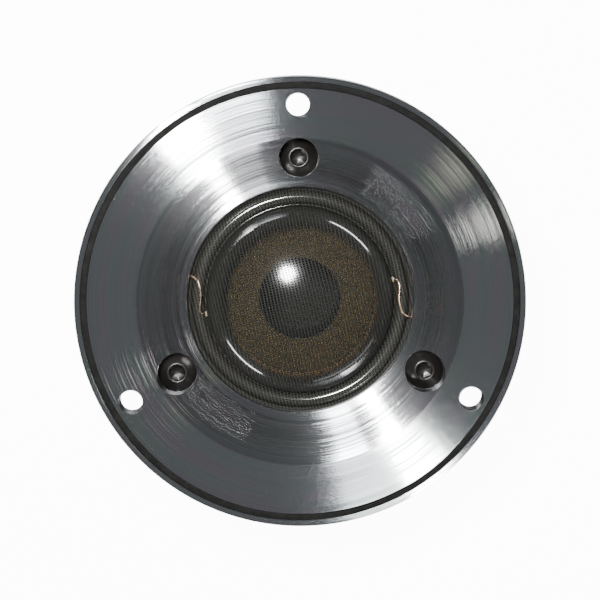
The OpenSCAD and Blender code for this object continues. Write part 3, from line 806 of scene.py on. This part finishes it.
def glue_spots(material):
    """Two drops of glue in the valley between dome and roll, longer along it than across. Each
    is a ball squeezed by a different share each way, with a slow ripple on its surface."""
    low, high = low_of("lead_glue_spots"), top_of("lead_glue_spots")
    v, u = np.meshgrid(np.linspace(0, math.pi, 24), np.arange(36) * TAU / 36, indexing="ij")
    ripple = 1 + 0.06 * np.sin(3 * u + 1) * np.sin(v) + 0.05 * np.sin(2 * u) * np.sin(2 * v)
    x, y = 0.2 * np.sin(v) * np.cos(u) * ripple, 0.42 * np.sin(v) * np.sin(u) * ripple
    z = (high - low) / 2 * np.cos(v) * ripple
    drop = np.stack([x, y, z], -1).reshape(-1, 3), grid_faces(24, 36, False)
    shapes = [placed(drop, COIL_R + 0.02, a + GLUE_TURN, (low + high) / 2) for a in LEAD_ANGLES]
    return riding(mesh_object("lead_glue_drops", shapes), "lead_glue_spots", material, 80)


# ------------------------------------------------------------------ terminals
def solder_drops(material):
    """Each joint is a drop whose side curves in like a meniscus from a wide foot."""
    low, high = low_of("solder_joints"), top_of("solder_joints")
    t = np.linspace(0, 1, 14)
    r = 0.6 * (1 - t) ** 1.6 + 0.33 * np.sqrt(np.clip(1 - t ** 3, 0, 1))
    r = np.minimum(r, 0.62)
    r[-1] = 0
    outline = [(0, low)] + list(zip(r, low + (high - low) * t))
    shapes = [placed(turned(outline, False, 48), SOLDER_R, a, 0) for a in LEAD_ANGLES]
    return riding(mesh_object("solder_drops", shapes), "solder_joints", material, 80)


def rivets(material):
    """Two domed rivets with a dimple in each head."""
    low, high = low_of("terminal_rivets"), top_of("terminal_rivets")
    seat = FRAME_TOP_Z + BLADE_T
    outline = [
        (0, low), (0.6, low), (0.6, seat), (1.08, seat), (1.1, seat + 0.08), (1.0, seat + 0.25),
        (0.8, high - 0.03), (0.6, high), (0.45, high - 0.04), (0.3, high - 0.15), (0, high - 0.18),
    ]
    shapes = [placed(turned(outline, False, 48), RIVET_R, a, 0) for a in LEAD_ANGLES]
    return riding(mesh_object("terminal_rivets_domed", shapes), "terminal_rivets", material, 50)


# ------------------------------------------------------------------ motor
def top_plate(material):
    """The front pole plate with rounded edges, its screw holes and its two terminal notches."""
    outline = rounded([
        (GAP_R, PLATE_TOP_Z, 0.1), (PLATE_R, PLATE_TOP_Z, 0.3),
        (PLATE_R, PLATE_LOW_Z, 0.3), (GAP_R, PLATE_LOW_Z, 0.1),
    ])
    item = mesh_object("top_plate_turned", [turned(outline, True, 288)])
    hole = bore([(THREAD_R, PLATE_LOW_Z - 1), (THREAD_R, PLATE_TOP_Z + 1)])
    notches = [
        placed(block((4, w + 1.4, 6)), 25.2, a, PLATE_LOW_Z - 1) for a, w in zip(LEAD_ANGLES, BLADE_WIDTHS)
    ]
    cut(item, [placed(hole, SCREW_R, a, 0) for a in SCREW_ANGLES], notches)
    return riding(item, "top_plate", material, 30)


def magnet_ring(material):
    """The magnet with eased edges and a fine waviness from grinding."""
    outline = rounded([
        (MAGNET_BORE_R, YOKE_TOP_Z, 0.3), (MAGNET_BORE_R, PLATE_LOW_Z, 0.3),
        (MAGNET_R, PLATE_LOW_Z, 0.4), (MAGNET_R, YOKE_TOP_Z, 0.4),
    ])
    return riding(mesh_object("magnet_ring_plated", [turned(outline, True, 256)]), "magnet_ring", material)


def yoke(material):
    """The back plate and the vented pole, turned from one piece, with three threaded holes."""
    pole_r = width_of("copper_cap") - CAP_T
    outline = rounded([
        (VENT_R, YOKE_LOW_Z, 0.3), (MAGNET_R, YOKE_LOW_Z, 0.4), (MAGNET_R, YOKE_TOP_Z, 0.3),
        (pole_r, YOKE_TOP_Z, 0.2), (pole_r, PLATE_TOP_Z, 0.1), (VENT_R, PLATE_TOP_Z, 0.4),
    ])
    item = mesh_object("yoke_turned", [turned(outline, True, 256)])
    hole = bore([(1.25, YOKE_LOW_Z - 1), (1.25, REAR_TIP_Z + 0.3)])
    cut(item, [placed(hole, REAR_SCREW_R, a, 0) for a in REAR_SCREW_ANGLES])
    return riding(item, "yoke", material, 30)


def copper_cap(material):
    """A thin drawn cap over the pole, with a rounded rim."""
    r, top, low = width_of("copper_cap"), top_of("copper_cap"), low_of("copper_cap")
    outline = rounded([
        (r, low, 0.08), (r, top, 0.3), (FELT_R, top, 0.08), (FELT_R, top - CAP_T, 0.05),
        (r - CAP_T, top - CAP_T, 0.05), (r - CAP_T, low, 0.08),
    ])
    return riding(mesh_object("copper_cap_drawn", [turned(outline, True, 192)]), "copper_cap", material)


def felt_ring(material):
    """The felt ring: soft edges, and a top that rises and falls with a few slow waves."""
    low, high = low_of("pole_felt_ring"), top_of("pole_felt_ring")
    outline = rounded([
        (VENT_R, low, 0.1), (VENT_R, high, 0.35), (VENT_R + 2, high, 0), (FELT_R - 1.5, high, 0),
        (FELT_R, high, 0.3), (FELT_R, low, 0.1),
    ], 5)
    points, faces = turned(outline, True, 192)
    angle = np.arctan2(points[:, 1], points[:, 0])
    wave = 0.03 * np.sin(5 * angle) + 0.02 * np.sin(13 * angle + 2) + 0.015 * np.sin(29 * angle)
    points[:, 2] += (wave - 0.065) * (points[:, 2] - low) / (high - low)
    return riding(mesh_object("pole_felt_ring_soft", [(points, faces)]), "pole_felt_ring", material, 60)


# ------------------------------------------------------------------ rear chamber
def rear_chamber(material):
    """The turned cup behind the motor: three cooling grooves, a cavity and screw recesses."""
    groove_r = MAGNET_R - 1.8
    side = []
    for i in range(2, -1, -1):
        z = YOKE_LOW_Z - 2.6 * (i + 1)
        side += [
            (MAGNET_R, z - 0.6, 0.15), (groove_r, z - 0.6, 0.3),
            (groove_r, z + 0.6, 0.3), (MAGNET_R, z + 0.6, 0.15),
        ]
    corners = [
        (0, BACK_Z, 0), (MAGNET_R - 5, BACK_Z, 0),
        (MAGNET_R - 0.8, BACK_Z, 0.15), (MAGNET_R, BACK_Z + 0.8, 0.2),
        *side, (MAGNET_R, YOKE_LOW_Z, 0.2), (16.1, YOKE_LOW_Z, 0.05), (16.0, YOKE_LOW_Z - 0.8, 0.1),
        (14.9, YOKE_LOW_Z - 0.8, 0.1), (14.9, YOKE_LOW_Z, 0.05),
        (CAVITY_R, YOKE_LOW_Z, 0.1), (CAVITY_R, BACK_Z + 2, 0.3), (0, BACK_Z + 2, 0),
    ]
    item = mesh_object("rear_chamber_turned", [turned(rounded(corners), False, 256)])
    head_r = REAR_HEAD_R + FIT
    recess = bore([
        (1.35, YOKE_LOW_Z + 1), (1.35, BACK_Z + REAR_RECESS), (head_r, BACK_Z + REAR_RECESS),
        (head_r, BACK_Z + 0.1), (head_r + 0.3, BACK_Z - 0.2),
    ])
    cut(item, [placed(recess, REAR_SCREW_R, a, 0) for a in REAR_SCREW_ANGLES])
    return riding(item, "rear_chamber", material, 30)


def damping_pad(material):
    """The fleece pad in the chamber: a crowned disc with a rounded edge and slow lumps."""
    low, high = low_of("chamber_damping"), top_of("chamber_damping")
    r = width_of("chamber_damping")
    a = np.linspace(0, math.pi / 2, 10)
    crown = np.linspace(0, r - 1.2, 20)
    upper = np.stack([crown, high - 0.6 * (crown / r) ** 2], -1)
    edge = np.stack([r - 1.2 + 1.2 * np.sin(a), high - 1.74 + 1.2 * np.cos(a)], -1)
    lower = [(r, low + 0.6), (r - 0.3, low + 0.1), (r - 0.8, low), (0, low)]
    points, faces = turned(np.concatenate([upper, edge, lower]), False, 120)
    x, y = points[:, 0], points[:, 1]
    lumps = 0.12 * np.sin(0.9 * x + 1) * np.sin(0.8 * y) + 0.06 * np.sin(2.1 * x - y)
    points[:, 2] += (lumps - 0.18) * smooth((points[:, 2] - low) / (high - low))
    item = riding(mesh_object("chamber_damping_pad", [(points, faces)]), "chamber_damping", material, 80)
    return item


# ------------------------------------------------------------------ camera, light and floor
WHITE = 12.0


def camera():
    """A long lens a little above the axis, which shows the front almost square on."""
    lens = bpy.data.cameras.new("camera")
    item = bpy.data.objects.new("camera", lens)
    bpy.context.scene.collection.objects.link(item)
    lens.sensor_width = 36
    distance, tilt, roll = 450 * MM, math.radians(5.2), math.radians(-0.6)
    view_width = 87.43 * MM
    lens.lens = lens.sensor_width * distance / view_width
    away = Vector((0, math.sin(tilt), math.cos(tilt)))
    target = Vector((0, 0.376 * MM, FACE_Z * MM))
    right = Vector((1, 0, 0))
    up = away.cross(right)
    turn = Matrix((right, up, away)).transposed() @ Matrix.Rotation(roll, 3, "Z")
    item.matrix_world = Matrix.Translation(target + away * distance) @ turn.to_4x4()
    bpy.context.scene.camera = item


def softbox(name, azimuth, polar, width, height, radiance, colour=(1, 1, 1), distance=0.5, shape="RECTANGLE"):
    """A flat light aimed at the dome. Azimuth is round the axis, polar is the angle from it, and
    width and height are the angles that the light spans."""
    data = bpy.data.lights.new(name, "AREA")
    item = bpy.data.objects.new(name, data)
    bpy.context.scene.collection.objects.link(item)
    data.shape = shape
    data.size = 2 * distance * math.tan(math.radians(width) / 2)
    data.size_y = 2 * distance * math.tan(math.radians(height) / 2)
    data.energy = 4 * data.size * data.size_y * radiance
    data.color = colour
    a, p = math.radians(azimuth), math.radians(polar)
    away = Vector((math.sin(p) * math.cos(a), math.sin(p) * math.sin(a), math.cos(p)))
    across = Vector((-math.sin(a), math.cos(a), 0))
    turn = Matrix((across, away.cross(across), away)).transposed()
    item.matrix_world = Matrix.Translation(away * distance) @ turn.to_4x4()
    return item


def lights():
    """Two groups that light different pieces. Narrow softboxes, in pairs across the axis, and two
    faint strips light the faceplate alone. A round softbox and three low ones light the rest."""
    plate, rest = bpy.data.collections.new("plate"), bpy.data.collections.new("rest")
    for item in bpy.data.objects:
        if item.type == "MESH":
            (plate if item.name == "faceplate_turned" else rest).objects.link(item)
    cool = (0.94, 0.98, 1)
    for box in (
        softbox("key", 136.5, 14.9, 4.0, 8, 90),
        softbox("key_side", 116.8, 14.9, 6.9, 8, 6, cool),
        softbox("key_opposite", 292.8, 14.9, 1.8, 8, 12),
        softbox("side_opposite", 283.2, 14.9, 3.0, 8, 5, cool),
        softbox("tall_key", 129, 42, 4.5, 40, 70),
        softbox("tall_side", 111, 42, 9, 40, 14, cool),
        softbox("tall_opposite", 299.5, 42, 4.5, 40, 60),
        softbox("tall_side_opposite", 287.4, 42, 7, 40, 1.5, cool),
        softbox("warm_strip", 4.2, 16, 1.4, 8, 3.5, (1, 0.95, 0.88)),
        softbox("green_strip", 25.3, 16, 3, 8, 0.6, (0.95, 1, 0.7)),
    ):
        box.light_linking.receiver_collection = plate
    for box in (
        softbox("round_key", 120, 16.4, 9.5, 9.5, 160, shape="DISK"),
        softbox("low_upper_right", 49, 69, 32, 5, 30, distance=0.6),
        softbox("low_lower_left", 229, 67, 28, 5, 30, distance=0.6),
        softbox("low_lower_right", 303, 63, 44, 3, 4, distance=0.6),
    ):
        box.light_linking.receiver_collection = rest


def world():
    """A plain studio: dark overhead, where the camera stands, and pale towards the horizon."""
    item = bpy.data.worlds.new("studio")
    bpy.context.scene.world = item
    item.use_nodes = True
    tree = item.node_tree
    tree.nodes.clear()
    add, link = tree.nodes.new, tree.links.new
    place, parts, ramp = add("ShaderNodeTexCoord"), add("ShaderNodeSeparateXYZ"), add("ShaderNodeValToRGB")
    link(place.outputs["Generated"], parts.inputs[0])
    link(parts.outputs["Z"], ramp.inputs[0])
    stops = [(0.0, 0.4), (0.08, 0.2), (0.2, 0.07), (0.35, 0.05), (0.6, 0.06), (0.85, 0.085), (1.0, 0.105)]
    elements = ramp.color_ramp.elements
    while len(elements) < len(stops):
        elements.new(0.5)
    for element, (position, value) in zip(elements, stops):
        element.position, element.color = position, (0.96 * value, value, 1.04 * value, 1)
    light, seen = add("ShaderNodeBackground"), add("ShaderNodeBackground")
    mix, path = add("ShaderNodeMixShader"), add("ShaderNodeLightPath")
    link(ramp.outputs[0], light.inputs[0])
    seen.inputs[0].default_value, seen.inputs[1].default_value = (1, 1, 1, 1), WHITE
    link(path.outputs["Is Camera Ray"], mix.inputs[0])
    link(light.outputs[0], mix.inputs[1])
    link(seen.outputs[0], mix.inputs[2])
    link(mix.outputs[0], add("ShaderNodeOutputWorld").inputs[0])


def floor():
    """A pale floor with a hole under the part's flat back. It glows white to the camera only, so it
    shows no shadow, and it is clear from below, so that the back shows."""
    angle = np.arange(96) * TAU / 96
    r = np.array([[900.0], [MAGNET_R - 1]])
    points = np.stack([r * np.cos(angle), r * np.sin(angle), BACK_Z - 0.02 + 0 * r * angle], -1)
    item = mesh_object("floor", [(points.reshape(-1, 3), grid_faces(2, 96, False))], merge=False)
    finish = Finish("pale_floor", (0.85, 0.85, 0.85), 0.0, 0.6)
    path = finish.tree.nodes.new("ShaderNodeLightPath")
    side = finish.tree.nodes.new("ShaderNodeNewGeometry")
    finish.set(finish.shader, {
        "Emission Color": (1, 1, 1, 1),
        "Emission Strength": finish.math("MULTIPLY", path.outputs["Is Camera Ray"], WHITE),
        "Alpha": finish.math("SUBTRACT", 1.0, side.outputs["Backfacing"]),
    })
    item.data.materials.append(finish.material)


# ------------------------------------------------------------------ the whole tweeter
def build():
    """Every piece with its finish."""
    oxide = turned_metal("black_oxide", (0.009, 0.0078, 0.007), (0.015, 0.013, 0.0115), 0.3, 5.0, 0.002, 0.1)
    faceplate(turned_aluminium())
    groove_ring(soft_black("groove_rubber", (0.006, 0.006, 0.0055), 0.6, 4.0, 0.03))
    faceplate_screws(oxide)
    rear_screws(oxide)
    nylon = soft_black("black_nylon", (0.018, 0.018, 0.019), 0.45, 9.0, 0.01)
    eased_copy("diaphragm_frame", nylon, 0.12)
    eased_copy("terminal_insulators", nylon, 0.15)
    eased_copy("locating_pins", metal("plain_steel", (0.3, 0.3, 0.3), (0.5, 0.5, 0.5), 0.3), 0.2)
    # The roll's threads are painted lighter than the dome's, as a painted sheen along its crest.
    surround(coated_silk("coated_silk_roll", 0.08, 0.045, 15.7))
    dome(coated_silk("coated_silk_dome", 0.003, 0.02, 12.5, 0.93))
    dark, light = (0.35, 0.11, 0.04), (0.62, 0.24, 0.1)
    winding(metal("enamelled_copper", dark, light, 0.28, 6.0, 0.003, Coat_Weight=0.6))
    copper = metal("tinsel_copper", (0.95, 0.55, 0.34), (1, 0.75, 0.55), 0.27, 8.0, 0.004)
    lead_wire("lead_wire_left_tinsel", "lead_wire_left", LEAD_ANGLES[0], copper)
    lead_wire("lead_wire_right_tinsel", "lead_wire_right", LEAD_ANGLES[1], copper)
    glue_spots(glue())
    solder_drops(metal("solder", (0.5, 0.5, 0.52), (0.72, 0.72, 0.74), 0.28))
    brass = metal("brass_blade", (0.55, 0.36, 0.12), (0.78, 0.56, 0.24), 0.3)
    eased_copy("terminal_positive", brass, 0.1)
    eased_copy("terminal_negative", metal("tinned_blade", (0.5, 0.5, 0.5), (0.72, 0.72, 0.7), 0.33), 0.1)
    rivets(brass)
    steel = turned_metal("plated_steel", (0.12, 0.12, 0.125), (0.2, 0.2, 0.21), 0.38)
    top_plate(steel)
    yoke(steel)
    magnet_ring(metal("nickel_magnet", (0.42, 0.41, 0.39), (0.52, 0.51, 0.49), 0.3, 2.0, 0.002))
    copper_cap(metal("copper_sheet", (0.16, 0.1, 0.045), (0.26, 0.16, 0.075), 0.5))
    felt_ring(fibres("brown_felt", (0.26, 0.18, 0.07), (0.31, 0.22, 0.09), 2.0, 0.01))
    rear_chamber(turned_metal("dark_aluminium", (0.09, 0.095, 0.1), (0.15, 0.155, 0.165), 0.34, 4.0, 0.008))
    damping_pad(fibres("damping_fleece", (0.05, 0.05, 0.048), (0.12, 0.12, 0.115), 2.0, 0.25))
    for node, material in (
        ("voice_coil_former", film()),
        ("chamber_seal", soft_black("seal_rubber", (0.015, 0.015, 0.015), 0.5, 5.0, 0.01)),
    ):
        slots = frame["nodes"][node].data.materials
        slots.clear()
        slots.append(material)


camera()
world()
floor()
build()
lights()
